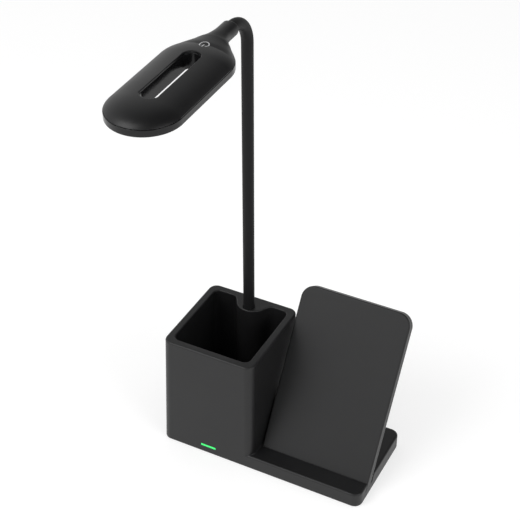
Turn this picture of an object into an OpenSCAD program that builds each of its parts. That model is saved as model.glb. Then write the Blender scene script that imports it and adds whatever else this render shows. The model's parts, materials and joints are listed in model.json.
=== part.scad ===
// Desk lamp on an organiser base: a pen box, a leaning wireless charging stand
// and a flexible neck that carries an oval light head with a slot through it.
// Millimetres. Origin: centre of the grip pad's underside, on the desk.
// +X to the viewer's right, +Y to the back, +Z up.

/* [Base] */
// Width of the base, left to right
base_w = 158; // [150:1:180]
// Depth of the base, front to back
base_d = 75; // [72:1:90]
// Height of the base's top face above the desk
base_h = 12; // [12:0.5:16]
// Radius of the upright corners
corner_r = 6.5; // [4:0.5:9]
// Rounding along the top edges
edge_r = 1.4; // [0.6:0.1:1.8]
// Thickness of the outer walls
wall = 2.2; // [1.8:0.1:2.6]
// Thickness of the top faces, the pen box's floor among them
top_t = 2; // [1.6:0.1:2.4]
// How far the walls stop above the desk
desk_gap = 0.5; // [0.3:0.1:1]

/* [Pen box] */
// Width of the pen box
box_w = 72.5; // [68:0.5:80]
// Height of the pen box's rim above the desk
box_h = 96; // [85:1:120]
// Width of the rim, from the outside to the cavity
rim_w = 5.6; // [4.8:0.1:7]
// Radius of the cavity's corners
cup_r = 5; // [3:0.5:7]
// Thickness of the cavity's own wall
cup_wall = 1.8; // [1.4:0.1:2]
// Radius of the bulge in the rim round the neck
bulge_r = 12.4; // [11:0.2:14]
// Radius of the hollow on each side of the bulge
bulge_fillet = 5; // [3:0.5:6]

/* [Underside] */
// Thickness of the bottom cover
cover_t = 2.7; // [2.4:0.1:3.2]
// Thickness of the grip pad
pad_t = 1.5; // [1.2:0.1:1.6]
// Gap from the cover's rim to the grip pad
pad_inset = 1.5; // [1:0.1:2]
// Thickness of the steel ballast plate
ballast_t = 4; // [3:0.5:4.5]
// Gap between the ballast plate and the pen box's walls
ballast_gap = 3; // [2:0.5:6]

/* [Stand] */
// Angle of the stand from the vertical
stand_lean = 32; // [25:1:36]
// Length of the stand above the base, along its slope
stand_len = 124.5; // [100:0.5:135]
// Thickness of the stand
stand_t = 8; // [7.6:0.1:9]
// Distance from the base's front to the stand's face, at the base's top
stand_y = 15; // [13:0.5:18]
// Radius of the stand's upper corners
stand_r = 10; // [6:0.5:14]
// Wall thickness of the stand's two shells
stand_wall = 1.8; // [1.5:0.1:2]
// Open seam behind the stand's foot
seam = 1.6; // [0.8:0.1:2]
// Height above the desk of the floor that the stand's foot sits on
foot_z = 6.8; // [6.8:0.1:7.4]
// Gap between the stand and the pen box
stand_gap = 1; // [0.6:0.1:2]
// Outer radius of the charging coil
coil_r = 24; // [20:0.5:26]
// Inner radius of the charging coil
coil_hole_r = 10; // [8:0.5:14]
// Height of the coil's middle above the base, along the slope
coil_up = 66; // [55:1:75]

/* [Neck] */
// Outer radius of the neck's soft sleeve
neck_r = 4.1; // [3.8:0.1:4.4]
// Distance from the base's left side to the neck
neck_x = 38; // [34:0.5:40]
// Distance from the base's back to the neck
neck_back = 12.5; // [12.3:0.1:15]
// Height of the neck from the rim to the start of its bend
neck_len = 215; // [212:1:260]
// Radius of the bend, to the neck's middle
bend_r = 20; // [18:0.5:30]
// Slope of the head below the level
head_pitch = 1.5; // [0:0.5:12]
// Radius of the steel core inside the sleeve
core_r = 2.8; // [2.7:0.05:2.85]
// Radius of the ball at each knuckle of the core
ball_r = 2.2; // [2:0.05:2.3]
// Height of the first knuckle above the rim
knuckle_1 = 28; // [20:1:30]
// Distance from each knuckle to the next
knuckle_pitch = 48; // [40:1:48]
// Distance from the turning knuckle down from the bend
turn_below = 11; // [10:0.5:14]
// Length of soft sleeve that bends at each knuckle
flex_len = 14; // [12:0.5:16]

/* [Head] */
// Half width of the head
head_r = 24.2; // [22:0.1:28]
// Distance between the middles of the head's round ends
head_span = 56.8; // [45:0.2:70]
// Height of the head, from its underside to the dome's crown
head_h = 11.4; // [11.2:0.1:13]
// Height of the lower frame's band
band_h = 4.6; // [4.6:0.1:5.2]
// Half width of the slot through the head, at its top
slot_r = 6.1; // [5:0.1:7]
// Distance between the middles of the slot's round ends
slot_span = 46; // [30:0.2:50]
// Wall thickness of the head's shells
head_wall = 1.6; // [1.4:0.1:1.8]
// Distance from the collar's end to the middle of the head's rear end
collar_reach = 46.2; // [44:0.1:60]
// Radius of the collar that grips the neck
collar_r = 5.7; // [5.4:0.1:6.2]
// Length of the collar's straight part
collar_len = 14; // [13:0.5:16]
// Height of the neck's middle above the head's underside
axis_up = 6; // [5.8:0.1:6.4]

/* [Hidden] */
$fn = 64;
HULL_FN = 32;

// Fits and small hardware
EPS = 0.01;          // overlap that joins or cuts cleanly
touch_gap = 0.1;     // clearance of pieces that sit against each other
slide_gap = 0.2;     // clearance of covers and panels in their openings
ball_gap = 0.05;     // running clearance of each ball in its cup

screw_r = 1.25;      // shank of the base's self-tapping screws
screw_head_r = 2.6;
screw_head_t = 0.9;
post_r = 3.2;        // posts that the screws bite into
small_screw_r = 1;   // shank of the screws in the stand and the head
small_head_r = 1.9;
small_head_t = 0.8;

// Levels in the base
cover_top = desk_gap + cover_t;
inner_top = base_h - top_t;
pad_recess_z = pad_t;

// Corners of the base and the pen box
left = -base_w / 2;
front = -base_d / 2;
back = base_d / 2;
box_right = left + box_w;
box_mid = left + box_w / 2;

// Cavity for pens
cup_w = box_w - 2 * rim_w;
cup_d = base_d - 2 * rim_w;

// Neck's line
nx = left + neck_x;
ny = back - neck_back;
bend_z = box_h + neck_len;
bend_angle = 90 + head_pitch;
nod_angle = bend_angle / 2;
knuckles = [for (i = [0:3]) box_h + knuckle_1 + i * knuckle_pitch];
turn_z = bend_z - turn_below;
flex_half = flex_len / 2;
flex_angle = flex_half / bend_r * 180 / PI;
sleeve_bore = core_r + 0.2;

// Neck's anchor in the pen box
socket_depth = 26;
socket_r = neck_r + touch_gap;
anchor_lip = 2;      // depth of the sleeve's end below the rim
anchor_r = neck_r - touch_gap;
stud_r = 1.5;
socket_floor = 3;
nut_flats = 5.5;
nut_t = 2.4;
washer_r = 3.4;
washer_t = 1;
boss_r = bulge_r / 2 + 0.4;

// Stand
stand_x0 = box_right + stand_gap;
stand_x1 = base_w / 2;
stand_w = stand_x1 - stand_x0;
stand_mid = (stand_x0 + stand_x1) / 2;
shell_split = 4.6;   // depth of the front shell
foot_block = 6;      // height of the solid foot above the base's top
coil_t = 1.2;
ferrite_t = 0.8;
ferrite_margin = 1.5; // ferrite sheet's rim past the coil
board_t = 1.2;
coil_board_foot = foot_block + 6;
coil_board_top = coil_up + 10;
stand_post_r = 2.6;
stand_post_in = 7;   // stand's posts from its sides
stand_recess_t = 1;  // screw heads sink into the back cover

// Main board and inlet
main_board_w = 58;
main_board_d = 30;
main_board_z = 4.8;
usb_w = 9;
usb_h = 3.2;
usb_d = 7.4;
usb_shell = 0.35;
usb_tongue_t = 0.7;

// Light bar on the front
bar_w = 12;
bar_h = 1.4;
bar_z = 6.9;
bar_flange = 1;

// Head
head_rear = -collar_reach;
head_front = -collar_reach - head_span;
dome_slope = 55;     // slope of the dome where it meets the band
slot_rear = head_rear - 4.4; // middle of the slot's rear end
slot_lip = 1.8;      // from the dome's crown down to the top of the slot's wall
slot_wall = 1.4;     // thickness of the slot's wall on the lower frame, at its top
slot_foot_r = slot_r - 1.45; // half width of the slot at the head's underside
frame_inner_h = head_h - slot_lip;
web_z = band_h - 1.3; // underside of the lower frame's web
led_board_t = 1;
led_t = 0.6;
diffuser_z = 0.3;
diffuser_t = 0.9;
head_screw_rho = 14; // screws' distance from the head's middle line
head_post_r = 2.2;

// ---------- shapes used by several pieces ----------

module rrect(w, d, r) {
    square([w - 2 * r, d], center = true);
    square([w, d - 2 * r], center = true);
    for (x = [-1, 1])
        for (y = [-1, 1])
            translate([x * (w / 2 - r), y * (d / 2 - r)])
                circle(r);
}

module slab(w, d, r, z0, z1) {
    translate([0, 0, z0])
        linear_extrude(z1 - z0)
            rrect(w, d, r);
}

// A slab whose top edges are rounded
module soft_slab(w, d, r, z0, z1) {
    slab(w, d, r, z0, z1 - edge_r);
    hull() {
        for (a = [0, 45, 90]) {
            inset = edge_r * (1 - cos(a));
            rise = edge_r * sin(a);
            translate([0, 0, z1 - edge_r + rise - EPS])
                linear_extrude(EPS)
                    rrect(w - 2 * inset, d - 2 * inset, r - inset / 2, $fn = HULL_FN);
        }
    }
}

module tube(r_out, r_in, h) {
    difference() {
        cylinder(r = r_out, h = h);
        translate([0, 0, -1])
            cylinder(r = r_in, h = h + 2);
    }
}

// A screw with its tip up, its head's underside at z = 0
module screw(r, head_r, head_t, len) {
    cylinder(r = r, h = len);
    translate([0, 0, -head_t])
        cylinder(r = head_r, h = head_t);
}

module at_box() {
    translate([box_mid, 0, 0])
        children();
}

// ---------- base ----------

// Outline of the pen cavity, grown outwards by g. The bulge's circle stands on the
// cavity's back wall, with a hollow on each side of it.
module cup_outline(g) {
    big = bulge_r - g;
    hollow = bulge_fillet + g;
    side = sqrt(pow(big + hollow, 2) - pow(bulge_fillet, 2));
    wall_y = g + 0.5;
    lap = 1.5;
    difference() {
        rrect(cup_w + 2 * g, cup_d + 2 * g, cup_r + g);
        translate([nx - box_mid, cup_d / 2]) {
            circle(big);
            for (s = [-1, 1])
                difference() {
                    polygon([[0, wall_y], [s * side, wall_y], [s * side, -bulge_fillet], [0, -lap]]);
                    translate([s * side, -bulge_fillet])
                        circle(hollow);
                }
        }
    }
}

module housing_outer() {
    soft_slab(base_w, base_d, corner_r, desk_gap, base_h);
    at_box()
        soft_slab(box_w, base_d, corner_r, desk_gap, box_h);
}

module housing_hollow() {
    slab(base_w - 2 * wall, base_d - 2 * wall, corner_r - wall, 0, inner_top);
    at_box()
        slab(box_w - 2 * wall, base_d - 2 * wall, corner_r - wall, 0, box_h - top_t);
}

cover_screw_places = [
    [left + 9, front + 9], [left + 9, back - 9],
    [box_right - 2, front + 9], [box_right - 2, back - 9],
    [base_w / 2 - 9, front + 6.8], [base_w / 2 - 9, back - 9]
];

board_screw_places = [
    [stand_mid - main_board_w / 2 + 5, back - wall - main_board_d + 3],
    [stand_mid + main_board_w / 2 - 5, back - wall - main_board_d + 3]
];

foot_screw_places = [
    for (s = [-1, 0, 1]) [stand_mid + s * (stand_w / 2 - 12), front + stand_y + 2.5]
];

module posts() {
    for (p = cover_screw_places)
        translate([p[0], p[1], cover_top])
            cylinder(r = post_r, h = inner_top - cover_top + EPS);
    for (p = board_screw_places)
        translate([p[0], p[1], main_board_z + board_t])
            cylinder(r = post_r - 0.6, h = inner_top - main_board_z - board_t + EPS);
}

module post_holes() {
    for (p = cover_screw_places)
        translate([p[0], p[1], cover_top - 1])
            cylinder(r = screw_r, h = inner_top - cover_top);
    for (p = board_screw_places)
        translate([p[0], p[1], main_board_z])
            cylinder(r = small_screw_r, h = inner_top - main_board_z - 0.6);
    for (p = foot_screw_places)
        translate([p[0], p[1], 0])
            cylinder(r = screw_r + touch_gap, h = base_h);
}

// Everything of the leaning stand between two depths, cut level at z0;
// grow widens it at the front, behind and left
module stand_wedge(z0, grow_front, grow_back, grow_left, past_right) {
    intersection() {
        stand_frame()
            translate([stand_x0 - grow_left, -grow_front, -20])
                cube([stand_w + grow_left + past_right, stand_t + grow_front + grow_back, 40]);
        translate([left, front, z0])
            cube([2 * base_w, base_d, base_h + 4 - z0]);
    }
}

module neck_socket_block() {
    translate([nx, ny, box_h - socket_depth - socket_floor])
        cylinder(r = boss_r, h = socket_depth + socket_floor - EPS);
    translate([nx - boss_r, ny, box_h - socket_depth - socket_floor])
        cube([2 * boss_r, back - ny - wall / 2, socket_depth + socket_floor - EPS]);
}

module neck_socket_bore() {
    translate([nx, ny, box_h - socket_depth])
        cylinder(r = socket_r, h = socket_depth + 1);
    translate([nx, ny, box_h - socket_depth - socket_floor - 1])
        cylinder(r = stud_r + touch_gap, h = socket_floor + 2);
}

module bar_opening(gap) {
    translate([box_mid - bar_w / 2 - gap, front - 1, bar_z - bar_h / 2 - gap])
        cube([bar_w + 2 * gap, wall + 2, bar_h + 2 * gap]);
}

module usb_shape(w, h, len) {
    rotate([90, 0, 0])
        linear_extrude(len)
            rrect(w, h, h / 2 - EPS);
}

usb_z = main_board_z + board_t + usb_h / 2;

module base_housing() {
    color([0.2, 0.2, 0.2])
        difference() {
            housing_outer();
            difference() {
                housing_hollow();
                at_box()
                    translate([0, 0, base_h - top_t])
                        linear_extrude(box_h)
                            cup_outline(cup_wall);
                neck_socket_block();
                posts();
                stand_wedge(foot_z - stand_wall, stand_wall + touch_gap, seam + stand_wall,
                            stand_wall + touch_gap, 1);
            }
            at_box()
                translate([0, 0, base_h])
                    linear_extrude(box_h)
                        cup_outline(0);
            neck_socket_bore();
            post_holes();
            stand_wedge(foot_z, touch_gap, seam, touch_gap, 1);
            bar_opening(touch_gap);
            translate([stand_mid, back + 1, usb_z])
                usb_shape(usb_w + 2 * slide_gap, usb_h + 2 * slide_gap, wall + 2);
        }
}

cover_w = base_w - 2 * wall - 2 * slide_gap;
cover_d = base_d - 2 * wall - 2 * slide_gap;
cover_r = corner_r - wall - slide_gap;
pad_w = cover_w - 2 * pad_inset;
pad_d = cover_d - 2 * pad_inset;
pad_r = 2.5;

module bottom_cover() {
    color([0.14, 0.14, 0.14])
        difference() {
            slab(cover_w, cover_d, cover_r, desk_gap, cover_top);
            slab(pad_w, pad_d, pad_r, desk_gap - 1, pad_recess_z);
            for (p = cover_screw_places) {
                translate([p[0], p[1], -1])
                    cylinder(r = screw_r + touch_gap, h = base_h);
                translate([p[0], p[1], -1])
                    cylinder(r = screw_head_r + slide_gap, h = 1 + pad_recess_z + screw_head_t);
            }
        }
}

module grip_pad() {
    color([0.09, 0.09, 0.09])
        slab(pad_w - 2 * touch_gap, pad_d - 2 * touch_gap, pad_r - touch_gap, 0, pad_recess_z);
}

module cover_screws() {
    color("silver")
        for (p = cover_screw_places)
            translate([p[0], p[1], pad_recess_z + screw_head_t])
                screw(screw_r - 0.02, screw_head_r, screw_head_t,
                      inner_top - pad_recess_z - screw_head_t - 1.5);
}

module ballast_plate() {
    w = box_w - 2 * wall - 2 * ballast_gap;
    d = base_d - 2 * wall - 2 * ballast_gap;
    notch = post_r + 0.8;
    color([0.55, 0.56, 0.58])
        difference() {
            at_box()
                slab(w, d, 2, cover_top, cover_top + ballast_t);
            for (p = cover_screw_places)
                translate([p[0] - notch, p[1] - notch, 0])
                    cube([2 * notch, 2 * notch, base_h]);
        }
}

module main_board() {
    color([0.05, 0.3, 0.18])
        difference() {
            union() {
                translate([stand_mid - main_board_w / 2, back - wall - slide_gap - main_board_d,
                           main_board_z])
                    cube([main_board_w, main_board_d, board_t]);
                // Coils and chips that stand on the board
                for (i = [-1, 1])
                    translate([stand_mid + i * 16 - 3, back - wall - 16, main_board_z + board_t - EPS])
                        cube([6, 6, 2.4]);
            }
            for (p = board_screw_places)
                translate([p[0], p[1], 0])
                    cylinder(r = small_screw_r + touch_gap, h = base_h);
            translate([base_w / 2 - 9, back - 9, 0])
                cylinder(r = post_r + 0.4, h = base_h);
        }
}

module board_screws() {
    color("silver")
        for (p = board_screw_places)
            translate([p[0], p[1], main_board_z])
                screw(small_screw_r - 0.02, small_head_r, small_head_t, 4);
}

module usb_inlet() {
    y1 = back - 0.3;
    color("silver") {
        translate([stand_mid, y1, usb_z])
            difference() {
                usb_shape(usb_w, usb_h, usb_d);
                translate([0, 1, 0])
                    usb_shape(usb_w - 2 * usb_shell, usb_h - 2 * usb_shell, usb_d);
            }
        translate([stand_mid - 3.3, y1 - usb_d + 0.5, usb_z - usb_tongue_t / 2])
            cube([6.6, usb_d - 1.5, usb_tongue_t]);
    }
}

module status_light_pipe() {
    color([0.2, 0.9, 0.4])
        union() {
            translate([box_mid - bar_w / 2, front, bar_z - bar_h / 2])
                cube([bar_w, wall + EPS, bar_h]);
            translate([box_mid - bar_w / 2 - bar_flange, front + wall, bar_z - bar_h / 2 - bar_flange])
                cube([bar_w + 2 * bar_flange, 1, bar_h + 2 * bar_flange]);
        }
}

module status_led_board() {
    y0 = front + wall + 1;
    color([0.05, 0.3, 0.18]) {
        translate([box_mid - 2, y0, bar_z - 0.8])
            cube([4, 0.8 + EPS, 1.6]);
        translate([box_mid - bar_w / 2, y0 + 0.8, cover_top])
            cube([bar_w, 1, inner_top - cover_top]);
    }
}

// ---------- stand ----------

// Frame of the stand: z up its slope from the base's top, y into its thickness
module stand_frame() {
    translate([0, front + stand_y, base_h])
        rotate([-stand_lean, 0, 0])
            children();
}

// Outline of the stand seen square on; only the upper corners are round
module stand_outline(inset, z0) {
    r = stand_r - inset;
    translate([stand_x0 + inset, z0])
        square([stand_w - 2 * inset, stand_len - inset - r - z0]);
    translate([stand_x0 + inset + r, stand_len - inset - r - EPS])
        square([stand_w - 2 * inset - 2 * r, r + EPS]);
    for (x = [stand_x0 + stand_r, stand_x1 - stand_r])
        translate([x, stand_len - stand_r])
            circle(r);
}

// Part of the stand between depths y0 and y1
module stand_layer(inset, z0, y0, y1) {
    translate([0, y1, 0])
        rotate([90, 0, 0])
            linear_extrude(y1 - y0)
                stand_outline(inset, z0);
}

stand_post_places = [
    for (x = [stand_x0 + stand_post_in, stand_x1 - stand_post_in])
        for (z = [foot_block + 8, stand_len - stand_r - 4]) [x, z]
];

module stand_posts(r, y0, y1) {
    for (p = stand_post_places)
        translate([p[0], y1, p[1]])
            rotate([90, 0, 0])
                cylinder(r = r, h = y1 - y0);
}

module stand_front_shell() {
    color([0.22, 0.22, 0.23])
        difference() {
            union() {
                stand_frame() {
                    difference() {
                        stand_layer(0, foot_block, 0, shell_split);
                        stand_layer(stand_wall, foot_block + stand_wall, stand_wall, shell_split + 1);
                    }
                    stand_posts(stand_post_r, stand_wall - EPS, shell_split);
                }
                intersection() {
                    stand_frame()
                        translate([stand_x0, 0, -20])
                            cube([stand_w, stand_t, 20 + foot_block + EPS]);
                    translate([left, front, foot_z])
                        cube([2 * base_w, 2 * base_d, base_h + 20]);
                }
            }
            stand_frame()
                stand_posts(small_screw_r, stand_wall, shell_split + 1);
            for (p = foot_screw_places)
                translate([p[0], p[1], foot_z - 1])
                    cylinder(r = screw_r, h = 6);
        }
}

module stand_back_cover() {
    color([0.2, 0.2, 0.2])
        stand_frame()
            difference() {
                stand_layer(0, foot_block + touch_gap, shell_split, stand_t);
                stand_layer(stand_wall, foot_block + stand_wall, shell_split - 1, stand_t - stand_wall);
                stand_posts(small_screw_r + touch_gap, shell_split - 1, stand_t + 1);
                stand_posts(small_head_r + slide_gap, stand_t - stand_recess_t, stand_t + 1);
            }
}

module stand_cover_screws() {
    color("silver")
        stand_frame()
            for (p = stand_post_places)
                translate([p[0], stand_t - stand_recess_t, p[1]])
                    rotate([90, 0, 0])
                        screw(small_screw_r - 0.02, small_head_r, small_head_t,
                              stand_t - stand_recess_t - stand_wall - 0.6);
}

module stand_foot_screws() {
    color("silver")
        for (p = foot_screw_places)
            translate([p[0], p[1], foot_z - stand_wall])
                screw(screw_r - 0.02, screw_head_r, screw_head_t, stand_wall + 4.5);
}

module coil_place() {
    stand_frame()
        translate([stand_mid, 0, coil_up])
            rotate([-90, 0, 0])
                children();
}

module charging_coil() {
    color([0.72, 0.42, 0.2])
        coil_place()
            translate([0, 0, stand_wall])
                tube(coil_r, coil_hole_r, coil_t);
}

module ferrite_sheet() {
    color([0.16, 0.16, 0.17])
        coil_place()
            translate([0, 0, stand_wall + coil_t])
                cylinder(r = coil_r + ferrite_margin, h = ferrite_t);
}

module coil_board() {
    color([0.05, 0.3, 0.18])
        stand_frame()
            difference() {
                translate([stand_mid - coil_r, stand_t - stand_wall - board_t, coil_board_foot])
                    cube([2 * coil_r, board_t, coil_board_top - coil_board_foot]);
                stand_posts(stand_post_r + slide_gap, 0, stand_t);
            }
}

// ---------- neck ----------

module neck_line() {
    translate([nx, ny, 0])
        children();
}

// Place at angle a round the bend, with z along the neck
module on_bend(a) {
    translate([nx, ny - bend_r, bend_z])
        rotate([a, 0, 0])
            translate([0, bend_r, 0])
                children();
}

// Tube round the bend from angle a0 to a1
module bend_tube(r_out, r_in, a0, a1) {
    translate([nx, ny - bend_r, bend_z])
        rotate([0, 0, 90])
            rotate([90, 0, 0])
                rotate_extrude(angle = a1 - a0, start = a0)
                    translate([bend_r, 0])
                        difference() {
                            circle(r_out);
                            if (r_in > 0)
                                circle(r_in);
                        }
}

ball_neck_r = 1;     // stem between a ball and its link
cup_rise = 0.8;      // cup's rim above the ball's middle
link_start = 3.6;    // full core starts this far from the ball's middle
cup_angle = cup_rise / bend_r * 180 / PI;
link_angle = link_start / bend_r * 180 / PI;

// Ball and stem at a link's lower end, the ball's middle at the origin
module link_ball() {
    sphere(r = ball_r);
    cylinder(r = ball_neck_r, h = link_start + EPS);
}

module cup_space() {
    sphere(r = ball_r + ball_gap);
}

// Straight link of the core from knuckle z0 to knuckle z1
module core_link(z0, z1) {
    neck_line()
        difference() {
            union() {
                translate([0, 0, z0])
                    link_ball();
                translate([0, 0, z0 + link_start])
                    cylinder(r = core_r, h = z1 + cup_rise - z0 - link_start);
            }
            translate([0, 0, z1])
                cup_space();
        }
}

module neck_anchor() {
    bottom = box_h - socket_depth;
    top = box_h - anchor_lip;
    color("silver")
        neck_line() {
            translate([0, 0, bottom])
                difference() {
                    cylinder(r = anchor_r, h = top - bottom);
                    translate([0, 0, 4])
                        cylinder(r = core_r + touch_gap, h = top - bottom);
                }
            translate([0, 0, bottom - socket_floor - washer_t - nut_t - 2])
                cylinder(r = stud_r, h = socket_floor + washer_t + nut_t + 2 + EPS);
        }
}

module neck_anchor_washer() {
    color("silver")
        neck_line()
            translate([0, 0, box_h - socket_depth - socket_floor - washer_t])
                tube(washer_r, stud_r + touch_gap, washer_t);
}

module neck_anchor_nut() {
    color("silver")
        neck_line()
            translate([0, 0, box_h - socket_depth - socket_floor - washer_t - nut_t])
                difference() {
                    cylinder(r = nut_flats / sqrt(3), h = nut_t, $fn = 6);
                    translate([0, 0, -1])
                        cylinder(r = stud_r, h = nut_t + 2);
                }
}

module core_colour() {
    color([0.5, 0.5, 0.52])
        children();
}

// Root of the core, from the anchor to the first knuckle
module neck_core_1() {
    z0 = box_h - socket_depth + 4;
    core_colour()
        neck_line()
            difference() {
                translate([0, 0, z0])
                    cylinder(r = core_r, h = knuckles[0] + cup_rise - z0);
                translate([0, 0, knuckles[0]])
                    cup_space();
            }
}

module neck_core_2() {
    core_colour()
        core_link(knuckles[0], knuckles[1]);
}

module neck_core_3() {
    core_colour()
        core_link(knuckles[1], knuckles[2]);
}

module neck_core_4() {
    core_colour()
        core_link(knuckles[2], knuckles[3]);
}

module neck_core_5() {
    core_colour()
        core_link(knuckles[3], turn_z);
}

// From the turning knuckle to the knuckle half way round the bend
module neck_core_6() {
    core_colour()
        difference() {
            union() {
                neck_line()
                    translate([0, 0, turn_z])
                        link_ball();
                neck_line()
                    translate([0, 0, turn_z + link_start])
                        cylinder(r = core_r, h = bend_z - turn_z - link_start + EPS);
                bend_tube(core_r, 0, 0, nod_angle + cup_angle);
            }
            on_bend(nod_angle)
                cup_space();
        }
}

// From the bend's knuckle into the head's ferrule
module neck_core_7() {
    core_colour() {
        on_bend(nod_angle)
            link_ball();
        bend_tube(core_r, 0, nod_angle + link_angle, bend_angle);
        // The straight end is a hair thinner, so that it leaves the curve cleanly
        head_frame()
            translate([0, straight_lap, 0])
                rotate([90, 0, 0])
                    cylinder(r = core_r - straight_step,
                             h = ferrule_start + ferrule_len + straight_lap);
    }
}

module sleeve_colour() {
    color([0.15, 0.15, 0.15])
        children();
}

module straight_sleeve(z0, z1) {
    sleeve_colour()
        neck_line()
            translate([0, 0, z0])
                tube(neck_r, sleeve_bore, z1 - z0);
}

module neck_sleeve_1() {
    straight_sleeve(box_h - anchor_lip, knuckles[0] - flex_half);
}

module neck_sleeve_2() {
    straight_sleeve(knuckles[0] + flex_half, knuckles[1] - flex_half);
}

module neck_sleeve_3() {
    straight_sleeve(knuckles[1] + flex_half, knuckles[2] - flex_half);
}

module neck_sleeve_4() {
    straight_sleeve(knuckles[2] + flex_half, knuckles[3] - flex_half);
}

module neck_sleeve_5() {
    straight_sleeve(knuckles[3] + flex_half, turn_z - flex_half);
}

module neck_sleeve_6() {
    straight_sleeve(turn_z + flex_half, bend_z);
    sleeve_colour()
        bend_tube(neck_r, sleeve_bore, 0, nod_angle - flex_angle);
}

module neck_sleeve_7() {
    sleeve_colour() {
        bend_tube(neck_r, sleeve_bore, nod_angle + flex_angle, bend_angle);
        head_frame()
            translate([0, straight_lap, 0])
                rotate([90, 0, 0])
                    tube(neck_r - straight_step, sleeve_bore + straight_step,
                         ferrule_start + straight_lap);
    }
}

// Soft sleeve at each knuckle, which bends when the knuckle does
module neck_flex_1() {
    straight_sleeve(knuckles[0] - flex_half, knuckles[0] + flex_half);
}

module neck_flex_2() {
    straight_sleeve(knuckles[1] - flex_half, knuckles[1] + flex_half);
}

module neck_flex_3() {
    straight_sleeve(knuckles[2] - flex_half, knuckles[2] + flex_half);
}

module neck_flex_4() {
    straight_sleeve(knuckles[3] - flex_half, knuckles[3] + flex_half);
}

module neck_flex_5() {
    straight_sleeve(turn_z - flex_half, turn_z + flex_half);
}

module neck_flex_6() {
    sleeve_colour()
        bend_tube(neck_r, sleeve_bore, nod_angle - flex_angle, nod_angle + flex_angle);
}

// ---------- head ----------

ferrule_start = 3;   // ferrule's front face inside the collar
ferrule_len = 10;
straight_lap = 0.5;  // how far the straight ends reach back into the curve
straight_step = 0.05;

// Frame of the head: origin where the neck leaves its bend, -y to the head's tip
module head_frame() {
    on_bend(bend_angle)
        rotate([-90, 0, 0])
            children();
}

// The same, with z = 0 on the head's underside
module head_level() {
    head_frame()
        translate([0, 0, -axis_up])
            children();
}

// Sweeps a profile round a middle line that starts at rear, by its distance from it
module oval_sweep(rear, span) {
    translate([0, rear, 0])
        rotate_extrude(angle = 180)
            children();
    translate([0, rear - span, 0])
        rotate([0, 0, 180])
            rotate_extrude(angle = 180)
                children();
    for (s = [0, 1])
        mirror([s, 0, 0])
            translate([0, rear, 0])
                rotate([90, 0, 0])
                    linear_extrude(span)
                        children();
}

// Outline of an oval round a middle line that starts at rear
module oval(r, rear, span) {
    translate([0, rear - span / 2]) {
        square([2 * r, span], center = true);
        for (s = [-1, 1])
            translate([0, s * span / 2])
                circle(r);
    }
}

// Plate between the head's sides, drawn in by side, and the slot, grown by hole
module oval_plate(side, hole, z0, z1) {
    translate([0, 0, z0])
        linear_extrude(z1 - z0)
            difference() {
                oval(head_r - side, head_rear, head_span);
                oval(slot_r + hole, slot_rear, slot_span);
            }
}

module slot_space(grow, z0, z1) {
    translate([0, 0, z0])
        linear_extrude(z1 - z0)
            oval(slot_r + grow, slot_rear, slot_span);
}

// The dome's section is a parabola from the band up to the crown. Inside a wall t,
// these are its rise, the level run of its first slope, and its height at a distance.
function dome_rise(t) = head_h - band_h - t;
function dome_run(t) = 2 * (head_r - t - dome_rise(t) / tan(dome_slope));
function dome_height(t, rho) =
    let (bow = head_r - t - dome_run(t),
         u = (sqrt(pow(dome_run(t), 2) + 4 * bow * rho) - dome_run(t)) / (2 * bow))
    head_h - t - dome_rise(t) * u * u;

dome_steps = 16;

// Profile inside a wall t, down to a skirt below the band's top
module dome_profile(t, skirt) {
    arc = [for (i = [0:dome_steps])
        let (u = 1 - i / dome_steps)
        [(head_r - t) * u * u + dome_run(t) * u * (1 - u), head_h - t - dome_rise(t) * u * u]];
    foot = skirt > 0 ? [[0, band_h - skirt], [head_r - t, band_h - skirt]] : [[0, band_h]];
    polygon(concat(arc, foot));
}

// Cross-section of the flare between collar and dome, at a distance y down it
module flare_slice(y, half_w, z0, z1) {
    r = min((z1 - z0) / 2, half_w) - EPS;
    translate([0, y, (z0 + z1) / 2])
        rotate([90, 0, 0])
            linear_extrude(EPS)
                rrect(2 * half_w, z1 - z0, r, $fn = HULL_FN);
}

flare_lip = 0.15;    // how far the flare's start stands out from the collar
flare_end = 9;       // where the flare ends, from the middle of the head's rear end

// Slices from the collar to the dome: distance, half width, lowest and highest z
flare = [
    [-collar_len, collar_r + flare_lip, axis_up - collar_r - flare_lip, axis_up + collar_r + flare_lip],
    [-collar_len - 4, collar_r + 0.9, axis_up - collar_r + 0.9, axis_up + collar_r - 0.1],
    [-collar_len - 8, collar_r + 3.1, axis_up - collar_r + 2.1, axis_up + collar_r - 0.3],
    [-collar_len - 11, collar_r + 5.7, axis_up - collar_r + 3.1, axis_up + collar_r - 0.5],
    [flare_end - collar_reach, 8, band_h + 0.4, dome_height(0, flare_end) - 0.15]
];

module head_outer() {
    oval_sweep(head_rear, head_span)
        dome_profile(0, 0);
    for (i = [0:len(flare) - 2])
        hull() {
            flare_slice(flare[i][0], flare[i][1], flare[i][2], flare[i][3]);
            flare_slice(flare[i + 1][0], flare[i + 1][1], flare[i + 1][2], flare[i + 1][3]);
        }
    translate([0, 0, axis_up])
        rotate([90, 0, 0])
            cylinder(r = collar_r, h = collar_len + EPS);
}

head_screw_places = [
    for (y = [head_rear, head_front])
        for (s = [-1, 1]) [s * head_screw_rho, y]
];

// The posts end inside the dome's skin
head_post_top = dome_height(0, head_screw_rho + head_post_r) - 0.6;

module head_posts(r, z0, z1) {
    for (p = head_screw_places)
        translate([p[0], p[1], z0])
            cylinder(r = r, h = z1 - z0);
}

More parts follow.
